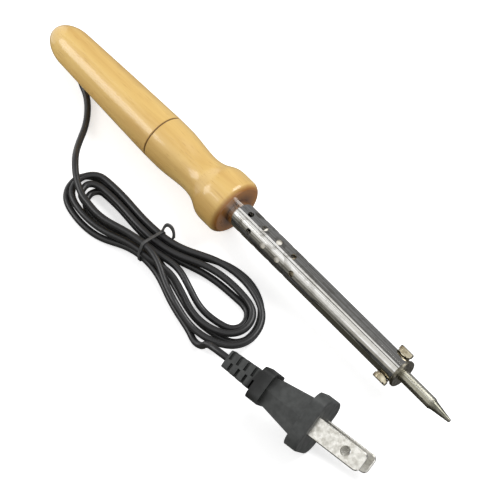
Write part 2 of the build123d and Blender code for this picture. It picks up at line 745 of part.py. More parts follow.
def plug_body():
    flange = block(FLANGE_WIDTH, FLANGE_HEIGHT, FLANGE_LENGTH, 0, FLANGE_ROUND)
    flange = fillet(flange.faces().sort_by(Axis.X)[-1].edges(), FLANGE_EDGE)
    body = flange + loft(
        [
            ridged_section(BODY_REAR_WIDTH, BODY_REAR_HEIGHT, body_rear),
            ridged_section(BODY_FRONT_WIDTH, BODY_FRONT_HEIGHT, FLANGE_LENGTH),
        ],
        ruled=True,
    )
    body += block(BLOCK_WIDTH, BLOCK_HEIGHT, block_rear, body_rear, BLOCK_ROUND)
    body += strain_relief()
    body -= plug_bridge(PLUG_FIT)
    for z in (-1, 1):
        body -= blade_blank(z * BLADE_PITCH / 2, PLUG_FIT)
        body -= plug_crimp(z * plug_crimp_offset, PLUG_FIT)
        body -= plug_core(z * plug_crimp_offset, PLUG_FIT)
    return body - plug_cord(PLUG_FIT)


# Nodes -------------------------------------------------------------------------------------------

iron = {
    "rear_handle": rear_handle(),
    "front_handle": front_handle(),
    "barrel_retainer": barrel_retainer(),
    "barrel": barrel(),
    "barrel_collar": barrel_collar(),
    "tip": tip(),
    "tip_screw_left": tip_screw(0),
    "tip_screw_right": tip_screw(180),
    "tip_washer_left": tip_washer(0),
    "tip_washer_right": tip_washer(180),
    "heater_core": heater_core(),
    "mica_inner": mica_inner(),
    "heater_winding": heater_winding(),
    "mica_outer": mica_outer(),
    "insulator_bushing": insulator_bushing(),
    "heater_lead_a": heater_lead(lead_offset),
    "heater_lead_b": heater_lead(-lead_offset),
    "lead_sleeve_a": lead_sleeve(lead_offset),
    "lead_sleeve_b": lead_sleeve(-lead_offset),
    "crimp_a": crimp(lead_offset),
    "crimp_b": crimp(-lead_offset),
    "core_a": core(lead_offset),
    "core_b": core(-lead_offset),
    "cord_anchor": cord_anchor(),
    "cord_inner": cord_inner(),
}
plug = {
    "plug_body": plug_body(),
    "plug_bridge": plug_bridge(),
    "blade_upper": blade(BLADE_PITCH / 2),
    "blade_lower": blade(-BLADE_PITCH / 2),
    "plug_crimp_a": plug_crimp(plug_crimp_offset),
    "plug_crimp_b": plug_crimp(-plug_crimp_offset),
    "plug_core_a": plug_core(plug_crimp_offset),
    "plug_core_b": plug_core(-plug_crimp_offset),
    "plug_cord": plug_cord(),
}
nodes = {name: iron_place * solid for name, solid in iron.items()}
nodes |= {name: plug_place * solid for name, solid in plug.items()}
nodes["cord_lead"] = cord_lead()
nodes["cord_hank"] = cord_hank()
nodes["cord_tail"] = cord_tail()
nodes["cord_tie"] = cord_tie()

os.makedirs("parts", exist_ok=True)
for name, solid in nodes.items():
    export_step(solid, f"parts/{name}.step")
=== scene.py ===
import math

import bmesh
import bpy
from mathutils import Matrix, Vector


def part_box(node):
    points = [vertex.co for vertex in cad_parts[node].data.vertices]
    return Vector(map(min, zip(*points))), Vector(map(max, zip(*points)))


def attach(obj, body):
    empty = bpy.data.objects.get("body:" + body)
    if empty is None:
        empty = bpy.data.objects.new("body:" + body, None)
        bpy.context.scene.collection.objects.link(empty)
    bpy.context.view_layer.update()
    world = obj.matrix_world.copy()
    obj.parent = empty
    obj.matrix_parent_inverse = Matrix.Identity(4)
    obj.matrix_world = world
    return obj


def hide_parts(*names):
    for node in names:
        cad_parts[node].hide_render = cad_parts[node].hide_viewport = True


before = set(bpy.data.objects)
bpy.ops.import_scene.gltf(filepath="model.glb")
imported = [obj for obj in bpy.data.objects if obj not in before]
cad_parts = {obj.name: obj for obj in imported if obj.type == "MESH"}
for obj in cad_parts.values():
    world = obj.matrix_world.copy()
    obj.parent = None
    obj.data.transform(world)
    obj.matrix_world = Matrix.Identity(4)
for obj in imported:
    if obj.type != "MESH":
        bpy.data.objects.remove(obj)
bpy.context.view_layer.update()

MM = 0.001

# Camera, floor and light -----------------------------------------------------------------------
# The iron is seen from high up over its tip's side, through a long lens, on a white table.
# A big soft light stands over it and a smaller one beside it.

LOOK_AT = Vector((6.6, -2.45, 0)) * MM
CAMERA_AZIMUTH = math.radians(49.2)
CAMERA_HEIGHT = math.radians(59.4)
CAMERA_DISTANCE = 716.5 * MM
LENS_LENGTH, SENSOR_WIDTH = 164.3, 36
NEAREST_SEEN = 10 * MM

towards_camera = Vector(
    (
        math.cos(CAMERA_HEIGHT) * math.sin(CAMERA_AZIMUTH),
        -math.cos(CAMERA_HEIGHT) * math.cos(CAMERA_AZIMUTH),
        math.sin(CAMERA_HEIGHT),
    )
)
camera_data = bpy.data.cameras.new("camera")
camera_data.lens = LENS_LENGTH
camera_data.sensor_width = SENSOR_WIDTH
camera_data.clip_start = NEAREST_SEEN
camera = bpy.data.objects.new("camera", camera_data)
bpy.context.scene.collection.objects.link(camera)
camera.location = LOOK_AT + towards_camera * CAMERA_DISTANCE
camera.rotation_euler = towards_camera.to_track_quat("Z", "Y").to_euler()
bpy.context.scene.camera = camera
bpy.context.scene.view_settings.view_transform = "Standard"


def new_material(name):
    """An empty node material with its shader, ready to be wired."""
    material = bpy.data.materials.new(name)
    material.use_nodes = True
    nodes = material.node_tree.nodes
    nodes.clear()
    output = nodes.new("ShaderNodeOutputMaterial")
    shader = nodes.new("ShaderNodeBsdfPrincipled")
    material.node_tree.links.new(shader.outputs["BSDF"], output.inputs["Surface"])
    return material, material.node_tree, shader


def add_node(tree, kind, **values):
    """A shader node with some of its settings and input values."""
    node = tree.nodes.new(kind)
    for key, value in values.items():
        if key in node.inputs:
            node.inputs[key].default_value = value
        else:
            setattr(node, key, value)
    return node


# Place, width and power of each light, in metres and watts
LIGHTS = {
    "key_light": ((0.10, 0.55, 0.75), 0.55, 5.6),
    "side_light": ((-0.55, -0.45, 0.45), 0.40, 1.9),
}


def soft_light(name, place, size, watts):
    """A square area light that faces the iron's middle."""
    data = bpy.data.lights.new(name, "AREA")
    data.size = size
    data.energy = watts
    light = bpy.data.objects.new(name, data)
    bpy.context.scene.collection.objects.link(light)
    light.location = place
    light.rotation_euler = Vector(place).to_track_quat("Z", "Y").to_euler()


for light_name, (light_place, light_size, light_watts) in LIGHTS.items():
    soft_light(light_name, light_place, light_size, light_watts)

# The room as light, and as the white that shows behind the iron and in its bright metal
ROOM_LIGHT, ROOM_WHITE = 0.50, 1.0

world = bpy.data.worlds.new("studio")
bpy.context.scene.world = world
world.use_nodes = True
world_tree = world.node_tree
world_light = world_tree.nodes["Background"]
world_light.inputs["Color"].default_value = (1, 1, 1, 1)
world_path = world_tree.nodes.new("ShaderNodeLightPath")
world_seen = add_node(world_tree, "ShaderNodeMath", operation="MAXIMUM")
world_strength = world_tree.nodes.new("ShaderNodeMapRange")
world_strength.inputs["To Min"].default_value = ROOM_LIGHT
world_strength.inputs["To Max"].default_value = ROOM_WHITE
world_tree.links.new(world_path.outputs["Is Camera Ray"], world_seen.inputs[0])
world_tree.links.new(world_path.outputs["Is Glossy Ray"], world_seen.inputs[1])
world_tree.links.new(world_seen.outputs[0], world_strength.inputs["Value"])
world_tree.links.new(world_strength.outputs["Result"], world_light.inputs["Strength"])

FLOOR_SIZE = 3
FLOOR_GREY, FLOOR_ROUGHNESS, FLOOR_GLOW = 0.86, 0.9, 0.58

floor_mesh = bpy.data.meshes.new("floor")
floor_form = bmesh.new()
bmesh.ops.create_grid(floor_form, x_segments=1, y_segments=1, size=FLOOR_SIZE)
floor_form.to_mesh(floor_mesh)
floor_form.free()
floor = bpy.data.objects.new("floor", floor_mesh)
bpy.context.scene.collection.objects.link(floor)
floor.visible_glossy = False
floor_paint, floor_tree, floor_shader = new_material("floor_white")
floor_shader.inputs["Base Color"].default_value = (FLOOR_GREY, FLOOR_GREY, FLOOR_GREY, 1)
floor_shader.inputs["Roughness"].default_value = FLOOR_ROUGHNESS
floor_path = add_node(floor_tree, "ShaderNodeLightPath")
floor_glow = add_node(floor_tree, "ShaderNodeMapRange")
floor_glow.inputs["To Max"].default_value = FLOOR_GLOW
floor_tree.links.new(floor_path.outputs["Is Camera Ray"], floor_glow.inputs["Value"])
floor_shader.inputs["Emission Color"].default_value = (1, 1, 1, 1)
floor_tree.links.new(floor_glow.outputs["Result"], floor_shader.inputs["Emission Strength"])
floor_mesh.materials.append(floor_paint)

# Studio cards: long strips round the iron that only its bright metal mirrors, as the dark and
# grey walls of a light tent do. Each spans two angles, in degrees from +Y up over the iron.
CARD_REACH = 1.5
CARD_DISTANCE = 1.0
CARD_STEPS = 24
CARDS = {
    "wall_card": (-80, 84, (0.19, 0.19, 0.192)),
    "ceiling_card": (96, 103, (0.10, 0.095, 0.075)),
    "lower_card": (142, 162, (0.45, 0.44, 0.41)),
    "front_card": (162, 194, (0.20, 0.195, 0.175)),
    "table_card": (194, 280, (0.05, 0.048, 0.038)),
}


def studio_card(name, start, end, colour):
    """A strip of card bent round the iron between two angles."""
    form = bmesh.new()
    first = math.radians(start)
    place = (CARD_DISTANCE * math.cos(first), CARD_DISTANCE * math.sin(first))
    line = [form.verts.new((x, *place)) for x in (-CARD_REACH, CARD_REACH)]
    edge = form.edges.new(line)
    sweep = math.radians(end - start)
    bmesh.ops.spin(
        form, geom=line + [edge], cent=(0, 0, 0), axis=(1, 0, 0), angle=sweep, steps=CARD_STEPS
    )
    mesh = bpy.data.meshes.new(name)
    form.to_mesh(mesh)
    form.free()
    card = bpy.data.objects.new(name, mesh)
    bpy.context.scene.collection.objects.link(card)
    card.visible_camera = card.visible_diffuse = card.visible_shadow = False
    paint, tree, shader = new_material(name)
    shader.inputs["Base Color"].default_value = (0, 0, 0, 1)
    shader.inputs["Specular IOR Level"].default_value = 0
    shader.inputs["Emission Color"].default_value = (*colour, 1)
    shader.inputs["Emission Strength"].default_value = 1
    mesh.materials.append(paint)


for card_name, (card_start, card_end, card_colour) in CARDS.items():
    studio_card(card_name, card_start, card_end, card_colour)

# Cord --------------------------------------------------------------------------------------------
# Thin black PVC cord. It leaves the handle downwards, runs over the table into a hank of four
# loops drawn in at the waist, and rises from the hank's far end into the plug.

CORD_DIAMETER = 2.2
CORD_BLACK, CORD_ROUGHNESS = (0.022, 0.022, 0.023), 0.34
CORD_PITS, PIT_STRENGTH, PIT_DEPTH = 900.0, 0.12, 0.1
HANK_X, HANK_Y, HANK_TURN = -13.3, -26.05, math.radians(5.4)
LOW, MID, TOP = 1.1, 3.9, 6.7
WAIST_LIFT, WAIST_PITCH = 1.0, 2.82
WAIST_PLACES = (1.5, 0.5, 0.5, 1.5)
FORWARD, BACK = Vector((1, 0, 0)), Vector((-1, 0, 0))
ACROSS, TOWARDS = Vector((0, 1, 0)), Vector((0, -1, 0))
# The outermost strand, from the hank's middle, at the right lobe's low side, end and high side and
# at the left lobe's high side, end and low side, then how far inside it each lap lies there
RIGHT_LOW, RIGHT_END, RIGHT_HIGH = (31.5, -12.4), (45.5, -2.0), (27.0, 13.0)
LEFT_HIGH, LEFT_END, LEFT_LOW = (-28.0, 7.2), (-36.0, 0.8), (-20.0, -8.7)
LAP_INSETS = (
    (0.3, 0.0, 1.9, 0.2, 2.2, 1.6),
    (3.7, 3.7, 5.6, 3.2, 5.4, 5.0),
    (7.8, 6.2, 7.2, 3.1, 7.4, 4.0),
    (4.1, 1.8, 0.0, 0.0, 0.0, 0.0),
)
# Where the strand fans out from the waist into each lap, and where it enters and leaves the hank,
# with its headings there in degrees from +X
FAN = ((19.0, -9.9, TOP), (15.0, -4.1, MID), (15.0, -1.2, MID + 0.5), (15.0, -4.5, LOW))
FAN_HEADING = -20
HANK_START, START_HEADING = (-24.0, -4.0, TOP), -15
HANK_END, END_HEADING = (24.5, -11.3, LOW), -14
HANK_RUN_IN, HANK_RUN_OUT = 4, 4.5
BEND_STEPS = 3

cord_lead = [
    (-80.02, -2.05, 4.27),
    (-77.6, -3.13, 1.3),
    (-71.2, -5.2, 1.25),
    (-63.6, -11.6, 1.3),
    (-57.8, -20.0, 3.2),
    (-52.4, -25.2, 6.9),
    (-46.4, -29.5, 7.0),
]
cord_tail = [
    (20.7, -37.3, 1.6),
    (24.6, -37.4, 4.3),
    (27.3, -37.8, 10.8),
    (31.905, -37.86, 13.42),
    (36.73, -37.05, 13.166),
]


def heading(degrees):
    """A level direction, turned from +X."""
    angle = math.radians(degrees)
    return Vector((math.cos(angle), math.sin(angle), 0))


def hank_lap(insets, z, waist):
    """Points and directions round one lap of the hank."""
    low, end, high, far_high, far_end, far_low = insets
    return [
        (Vector((RIGHT_LOW[0] - 0.3 * low, RIGHT_LOW[1] + low, z)), FORWARD),
        (Vector((RIGHT_END[0] - end, RIGHT_END[1] + 0.4 * end, z)), ACROSS),
        (Vector((RIGHT_HIGH[0] - 0.3 * high, RIGHT_HIGH[1] - high, z)), BACK),
        (Vector((0, waist, z + WAIST_LIFT)), BACK),
        (Vector((LEFT_HIGH[0] + 0.8 * far_high, LEFT_HIGH[1] - far_high, z)), BACK),
        (Vector((LEFT_END[0] + far_end, LEFT_END[1], z)), TOWARDS),
        (Vector((LEFT_LOW[0] + 0.2 * far_low, LEFT_LOW[1] + far_low, z)), FORWARD),
        (Vector((0, -waist, z + WAIST_LIFT)), FORWARD),
    ]


def hank_stations():
    """Where the hank's strand passes in turn, and which way it heads there."""
    stations = [(Vector(HANK_START), heading(START_HEADING))]
    stations.append((Vector((0, -WAIST_PITCH, TOP + WAIST_LIFT)), FORWARD))
    for fan, insets, layer, place in zip(FAN, LAP_INSETS, (MID, MID, LOW, LOW), WAIST_PLACES):
        stations.append((Vector(fan), heading(FAN_HEADING)))
        stations += hank_lap(insets, layer, place * WAIST_PITCH)
    stations.append((Vector(HANK_END), heading(END_HEADING)))
    return stations


def bend(start, way, end, steps=BEND_STEPS):
    """Points along the round bend that leaves one point in a direction and ends at another."""
    chord = end - start
    axis = way.cross(chord)
    if axis.length < 1e-6 * chord.length:
        return [start + chord * step / steps for step in range(steps)]
    angle = 2 * math.atan2(axis.length, way.dot(chord))
    side = axis.cross(way).normalized()
    radius = chord.length / (2 * math.sin(angle / 2))
    points = []
    for step in range(steps):
        turn = angle * step / steps
        points.append(start + way * radius * math.sin(turn) + side * radius * (1 - math.cos(turn)))
    return points


hank_place = Matrix.Translation((HANK_X, HANK_Y, 0)) @ Matrix.Rotation(HANK_TURN, 4, "Z")


def hank_points():
    """The hank's strand: two round bends from each station to the next."""
    stations = hank_stations()
    points = []
    for (start, start_way), (end, end_way) in zip(stations, stations[1:]):
        chord, ways = end - start, start_way + end_way
        spread = 2 * (1 - start_way.dot(end_way))
        if spread < 1e-9:
            reach = chord.dot(chord) / (4 * chord.dot(end_way))
        else:
            lean = chord.dot(ways)
            reach = (math.sqrt(lean * lean + spread * chord.dot(chord)) - lean) / spread
        middle = (start + end + (start_way - end_way) * reach) / 2
        half = middle - start
        middle_way = half * (2 * half.dot(start_way) / half.dot(half)) - start_way
        points += bend(start, start_way, middle) + bend(middle, middle_way, end)
    points.append(stations[-1][0])
    return [hank_place @ point for point in points]


strand = hank_points()
lead_way = (strand[1] - strand[0]).normalized()
tail_way = (strand[-1] - strand[-2]).normalized()
route = [Vector(point) for point in cord_lead]
route.append(strand[0] - lead_way * HANK_RUN_IN)
route += strand
route.append(strand[-1] + tail_way * HANK_RUN_OUT)
route += [Vector(point) for point in cord_tail]

cord_curve = bpy.data.curves.new("cord", "CURVE")
cord_curve.dimensions = "3D"
cord_curve.bevel_depth = CORD_DIAMETER / 2 * MM
cord_curve.bevel_resolution = 5
cord_curve.resolution_u = 5
cord_curve.use_fill_caps = True
cord_line = cord_curve.splines.new("NURBS")
cord_line.points.add(len(route) - 1)
for control, point in zip(cord_line.points, route):
    control.co = (*(point * MM), 1)
cord_line.order_u = 3
cord_line.use_endpoint_u = True
cord = bpy.data.objects.new("cord", cord_curve)
bpy.context.scene.collection.objects.link(cord)

cord_skin, cord_tree, cord_shader = new_material("cord_pvc")
cord_shader.inputs["Base Color"].default_value = (*CORD_BLACK, 1)
cord_shader.inputs["Roughness"].default_value = CORD_ROUGHNESS
cord_noise = add_node(cord_tree, "ShaderNodeTexNoise", Scale=CORD_PITS, Detail=3.0)
cord_coords = add_node(cord_tree, "ShaderNodeTexCoord")
cord_bump = add_node(cord_tree, "ShaderNodeBump", Strength=PIT_STRENGTH, Distance=PIT_DEPTH * MM)
cord_tree.links.new(cord_coords.outputs["Object"], cord_noise.inputs["Vector"])
cord_tree.links.new(cord_noise.outputs["Fac"], cord_bump.inputs["Height"])
cord_tree.links.new(cord_bump.outputs["Normal"], cord_shader.inputs["Normal"])
cord_curve.materials.append(cord_skin)

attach(cord, "handle")
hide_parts("cord_lead", "cord_hank", "cord_tail")

# Hank tie ----------------------------------------------------------------------------------------
# A flat plastic-covered wire bent once round all the strands at the hank's waist. Its two ends
# are twisted together and curl up over the strands.

TIE_REACH = 1.6
TIE_WIDTH = 1.0
TIE_THICKNESS = 0.5
TIE_WIRE = 0.40
TIE_STEPS = 72
TIE_ROUNDING = 0.1
TWIST_SPACING, TWIST_SWAY = 0.45, 0.5
TIE_KNOT = Vector((0, 5.05, 6.27))
TIE_CURL = [(0, 0, 0), (-0.6, 1.6, 1.9), (1.2, 2.6, 1.9), (3.0, 2.2, 0.3), (3.5, 1.4, -1.6)]
outer_strand, inner_strand = WAIST_PLACES[0] * WAIST_PITCH, WAIST_PITCH
# The strands that the band bears on, across the waist
tied_strands = [
    (-outer_strand, LOW + WAIST_LIFT),
    (outer_strand, LOW + WAIST_LIFT),
    (outer_strand, MID + WAIST_LIFT),
    (-inner_strand, TOP + WAIST_LIFT),
    (-outer_strand, MID + WAIST_LIFT),
]


def put_in_scene(name, mesh, place=Matrix()):
    """An object at the origin from a mesh in millimetres, moved to its place first."""
    mesh.transform(Matrix.Scale(MM, 4) @ place)
    piece = bpy.data.objects.new(name, mesh)
    bpy.context.scene.collection.objects.link(piece)
    return piece


tie_form = bmesh.new()
tie_loop = []
for tie_step in range(TIE_STEPS):
    tie_angle = math.radians(360 / TIE_STEPS * tie_step)
    away = (math.cos(tie_angle), math.sin(tie_angle))
    strand_y, strand_z = max(tied_strands, key=lambda place: place[0] * away[0] + place[1] * away[1])
    point = (-TIE_WIDTH / 2, strand_y + TIE_REACH * away[0], strand_z + TIE_REACH * away[1])
    tie_loop.append(tie_form.verts.new(point))
tie_edges = [tie_form.edges.new(pair) for pair in zip(tie_loop, tie_loop[1:] + tie_loop[:1])]
tie_side = bmesh.ops.extrude_edge_only(tie_form, edges=tie_edges)["geom"]
tie_far = [part for part in tie_side if isinstance(part, bmesh.types.BMVert)]
bmesh.ops.translate(tie_form, verts=tie_far, vec=(TIE_WIDTH, 0, 0))
bmesh.ops.recalc_face_normals(tie_form, faces=tie_form.faces[:])
bmesh.ops.solidify(tie_form, geom=tie_form.faces[:], thickness=TIE_THICKNESS / 2)
tie_mesh = bpy.data.meshes.new("tie_band")
tie_form.to_mesh(tie_mesh)
tie_form.free()
tie_mesh.shade_smooth()
tie_band = put_in_scene("tie_band", tie_mesh, hank_place)
tie_rounding = tie_band.modifiers.new("rounding", "BEVEL")
tie_rounding.width = TIE_ROUNDING * MM
tie_rounding.segments = 2
tie_rounding.limit_method = "ANGLE"

twist_curve = bpy.data.curves.new("tie_twist", "CURVE")
twist_curve.dimensions = "3D"
twist_curve.bevel_depth = TIE_WIRE
twist_curve.bevel_resolution = 4
twist_curve.resolution_u = 10
twist_curve.use_fill_caps = True
for lift in (0.0, TWIST_SPACING):
    twist_line = twist_curve.splines.new("NURBS")
    twist_line.points.add(len(TIE_CURL) - 1)
    for index, (control, step) in enumerate(zip(twist_line.points, TIE_CURL)):
        sway = lift * (1 if index % 2 else -1) * TWIST_SWAY
        control.co = (*(TIE_KNOT + Vector(step) + Vector((sway, -abs(sway), -lift))), 1)
    twist_line.order_u = 3
    twist_line.use_endpoint_u = True
twist_shape = bpy.data.objects.new("twist_shape", twist_curve)
bpy.context.scene.collection.objects.link(twist_shape)
twist_mesh = bpy.data.meshes.new_from_object(twist_shape)
bpy.data.objects.remove(twist_shape)
twist_mesh.name = "tie_twist"
twist_mesh.shade_smooth()
tie_twist = put_in_scene("tie_twist", twist_mesh, hank_place)


def link_or_set(tree, value, socket):
    """Joins a node's output to an input, or sets the input to a plain number or colour."""
    if isinstance(value, bpy.types.NodeSocket):
        tree.links.new(value, socket)
    elif isinstance(value, tuple):
        socket.default_value = (*value, 1)
    else:
        socket.default_value = value


def blended(tree, factor, first, second):
    """A colour between two others."""
    node = tree.nodes.new("ShaderNodeMix")
    node.data_type = "RGBA"
    for value, socket in ((factor, node.inputs[0]), (first, node.inputs[6]), (second, node.inputs[7])):
        link_or_set(tree, value, socket)
    return node.outputs[2]


def ranged(tree, value, start, end, low=0.0, high=1.0):
    """A value mapped from one range to another, and kept inside it."""
    node = tree.nodes.new("ShaderNodeMapRange")
    link_or_set(tree, value, node.inputs["Value"])
    for name, number in (("From Min", start), ("From Max", end), ("To Min", low), ("To Max", high)):
        node.inputs[name].default_value = number
    return node.outputs["Result"]


def grain(tree, scale, detail=4.0, distortion=0.0):
    """Noise on the piece's own place; scale is in features per metre along X, Y and Z."""
    coords = add_node(tree, "ShaderNodeTexCoord")
    mapping = add_node(tree, "ShaderNodeMapping", Scale=scale)
    noise = add_node(tree, "ShaderNodeTexNoise", Scale=1.0, Detail=detail, Distortion=distortion)
    tree.links.new(coords.outputs["Object"], mapping.inputs["Vector"])
    tree.links.new(mapping.outputs["Vector"], noise.inputs["Vector"])
    return noise.outputs["Fac"]


def relief(tree, shader, height, strength, depth):
    """Fine bumps; depth is in millimetres."""
    bump = add_node(tree, "ShaderNodeBump", Strength=strength, Distance=depth * MM)
    tree.links.new(height, bump.inputs["Height"])
    tree.links.new(bump.outputs["Normal"], shader.inputs["Normal"])


FINE_GRAIN = (900, 900, 900)
MOTTLE_DEPTH, MOTTLE_DETAIL = 0.05, 5.0


def mottled(name, dark, light, scale, roughness, metal=0.0, bump=0.2):
    """A surface that wanders between two colours, and is smoother where it is lighter."""
    material, tree, shader = new_material(name)
    smooth, rough = roughness
    noise = grain(tree, scale, MOTTLE_DETAIL)
    colour = blended(tree, ranged(tree, noise, 0.35, 0.65), dark, light)
    link_or_set(tree, colour, shader.inputs["Base Color"])
    link_or_set(tree, ranged(tree, noise, 0.3, 0.7, rough, smooth), shader.inputs["Roughness"])
    shader.inputs["Metallic"].default_value = metal
    relief(tree, shader, noise, bump, MOTTLE_DEPTH)
    return material


TIE_DARK, TIE_GREY = (0.045, 0.045, 0.045), (0.085, 0.085, 0.085)
tie_plastic = mottled("tie_plastic", TIE_DARK, TIE_GREY, FINE_GRAIN, (0.4, 0.6))
for tie_piece in (tie_band, tie_twist):
    tie_piece.data.materials.append(tie_plastic)
    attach(tie_piece, "handle")
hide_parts("cord_tie")

# Handle ------------------------------------------------------------------------------------------
# Two halves turned from pale hardwood, a spigot in a socket at a thin dark joint, under clear
# lacquer. The end grain of the front face is darker, and darkest round the barrel.

WOOD_PALE = (0.83, 0.565, 0.195)
WOOD_DEEP = (0.70, 0.435, 0.130)
WOOD_PORE = (0.50, 0.265, 0.070)
WOOD_END = (0.34, 0.125, 0.018)
WOOD_DARKEST = (0.13, 0.050, 0.014)
FIGURE_GRAIN, PORE_GRAIN = (16, 190, 190), (110, 2600, 2600)
LACQUER_WEIGHT, LACQUER_ROUGHNESS = 0.55, 0.09
JOINT_LINE = 0.45
END_DEPTH = 1.5
DARK_RING_INNER, DARK_RING_OUTER = 4.4, 7.4

joint_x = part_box("rear_handle")[1][0]
face_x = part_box("front_handle")[1][0]
axis_z = (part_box("barrel")[0][2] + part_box("barrel")[1][2]) / 2


def worked(tree, operation, *values):
    """The result of one arithmetic step."""
    node = add_node(tree, "ShaderNodeMath", operation=operation)
    for value, socket in zip(values, node.inputs):
        link_or_set(tree, value, socket)
    return node.outputs[0]


def placed(tree, axis):
    """The X, Y or Z of the point on the surface."""
    coords = add_node(tree, "ShaderNodeTexCoord")
    split = add_node(tree, "ShaderNodeSeparateXYZ")
    tree.links.new(coords.outputs["Object"], split.inputs[0])
    return split.outputs[axis]


def from_axis(tree):
    """The distance of the point on the surface from the iron's axis."""
    across = placed(tree, "Y")
    up = worked(tree, "SUBTRACT", placed(tree, "Z"), axis_z)
    squares = [worked(tree, "MULTIPLY", part, part) for part in (across, up)]
    return worked(tree, "SQRT", worked(tree, "ADD", *squares))


def lacquered_wood():
    """Figure and pores along the handle, with a dark joint and a dark front face."""
    material, tree, shader = new_material("lacquered_wood")
    x = placed(tree, "X")
    figure = grain(tree, FIGURE_GRAIN, 5.0, 0.6)
    pores = grain(tree, PORE_GRAIN, 3.0)
    colour = blended(tree, ranged(tree, figure, 0.36, 0.66), WOOD_DEEP, WOOD_PALE)
    colour = blended(tree, ranged(tree, pores, 0.58, 0.72, 0.0, 0.45), colour, WOOD_PORE)
    end_grain = ranged(tree, x, face_x - END_DEPTH * MM, face_x - 0.2 * MM, 0.0, 0.95)
    colour = blended(tree, end_grain, colour, WOOD_END)
    # The end grain turns darker still in a ring round the barrel.
    near_barrel = ranged(tree, from_axis(tree), DARK_RING_OUTER * MM, DARK_RING_INNER * MM)
    dark_ring = worked(tree, "MULTIPLY", end_grain, near_barrel)
    colour = blended(tree, dark_ring, colour, WOOD_DARKEST)
    from_joint = worked(tree, "ABSOLUTE", worked(tree, "SUBTRACT", x, joint_x))
    joint_shade = ranged(tree, from_joint, 0.7 * JOINT_LINE * MM, 0.3 * JOINT_LINE * MM, 0.0, 0.9)
    colour = blended(tree, joint_shade, colour, WOOD_DARKEST)
    link_or_set(tree, colour, shader.inputs["Base Color"])
    link_or_set(tree, ranged(tree, figure, 0.3, 0.7, 0.36, 0.26), shader.inputs["Roughness"])
    shader.inputs["Coat Weight"].default_value = LACQUER_WEIGHT
    shader.inputs["Coat Roughness"].default_value = LACQUER_ROUGHNESS
    relief(tree, shader, pores, 0.10, 0.05)
    return material


def finish_nodes(material, *names):
    """Gives CAD nodes their material."""
    for name in names:
        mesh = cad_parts[name].data
        mesh.materials.clear()
        mesh.materials.append(material)


finish_nodes(lacquered_wood(), "rear_handle", "front_handle")

# Barrel ------------------------------------------------------------------------------------------
# A bright plated steel tube, drilled with rows of vents, whose flange is wedged in the handle by
# a fibre ring. Polishing left fine lines along it, and heat has mottled it near the vents.

STEEL_BRIGHT = (0.90, 0.895, 0.88)
STEEL_DULL = (0.68, 0.665, 0.62)
STEEL_HEATED = (0.20, 0.18, 0.14)
LINE_GRAIN, BLOTCH_GRAIN, SPECK_GRAIN = (30, 2200, 2200), (330, 520, 520), (1500, 2400, 2400)
STAIN_LENGTH = 46.0


def plated_steel():
    """Bright plate with polishing lines, and heat stains that thin out past the vents."""
    material, tree, shader = new_material("plated_steel")
    x = placed(tree, "X")
    lines = grain(tree, LINE_GRAIN, 4.0)
    blotches = grain(tree, BLOTCH_GRAIN, 6.0, 0.4)
    specks = grain(tree, SPECK_GRAIN, 3.0)
    colour = blended(tree, ranged(tree, lines, 0.60, 0.42), STEEL_BRIGHT, STEEL_DULL)
    near_vents = ranged(tree, x, face_x, face_x + STAIN_LENGTH * MM, 1.0, 0.28)
    stained = worked(tree, "MULTIPLY", near_vents, ranged(tree, blotches, 0.50, 0.66, 0.0, 0.75))
    colour = blended(tree, stained, colour, STEEL_HEATED)
    colour = blended(tree, ranged(tree, specks, 0.66, 0.74, 0.0, 0.6), colour, STEEL_HEATED)
    link_or_set(tree, colour, shader.inputs["Base Color"])
    link_or_set(tree, ranged(tree, lines, 0.3, 0.7, 0.05, 0.12), shader.inputs["Roughness"])
    shader.inputs["Metallic"].default_value = 1
    relief(tree, shader, blotches, 0.10, 0.02)
    return material


finish_nodes(plated_steel(), "barrel")
FIBRE_DARK, FIBRE_RED = (0.16, 0.075, 0.04), (0.30, 0.15, 0.08)
vulcanised_fibre = mottled("vulcanised_fibre", FIBRE_DARK, FIBRE_RED, FINE_GRAIN, (0.6, 0.8))
finish_nodes(vulcanised_fibre, "barrel_retainer", "cord_anchor")

# Collar ------------------------------------------------------------------------------------------
# A thick ring pressed into the barrel's mouth to carry the screws' threads; soldering heat has
# turned its lip a dark olive grey.

COLLAR_DARK, COLLAR_OLIVE = (0.13, 0.12, 0.09), (0.34, 0.32, 0.26)
heated_collar = mottled(
    "heated_collar", COLLAR_DARK, COLLAR_OLIVE, (600, 900, 900), (0.26, 0.42), metal=1.0, bump=0.15
)
finish_nodes(heated_collar, "barrel_collar")

# Tip ---------------------------------------------------------------------------------------------
# A plated copper bit with a long point. Its shank keeps fine drawing lines, and the working point
# is darker from heat.

TIP_SHANK_DARK, TIP_SHANK_LIGHT = (0.33, 0.32, 0.25), (0.92, 0.90, 0.79)
TIP_POINT_COLOUR = (0.085, 0.085, 0.066)
POINT_LENGTH = 8.0
DRAWING_GRAIN = (28, 1500, 1500)


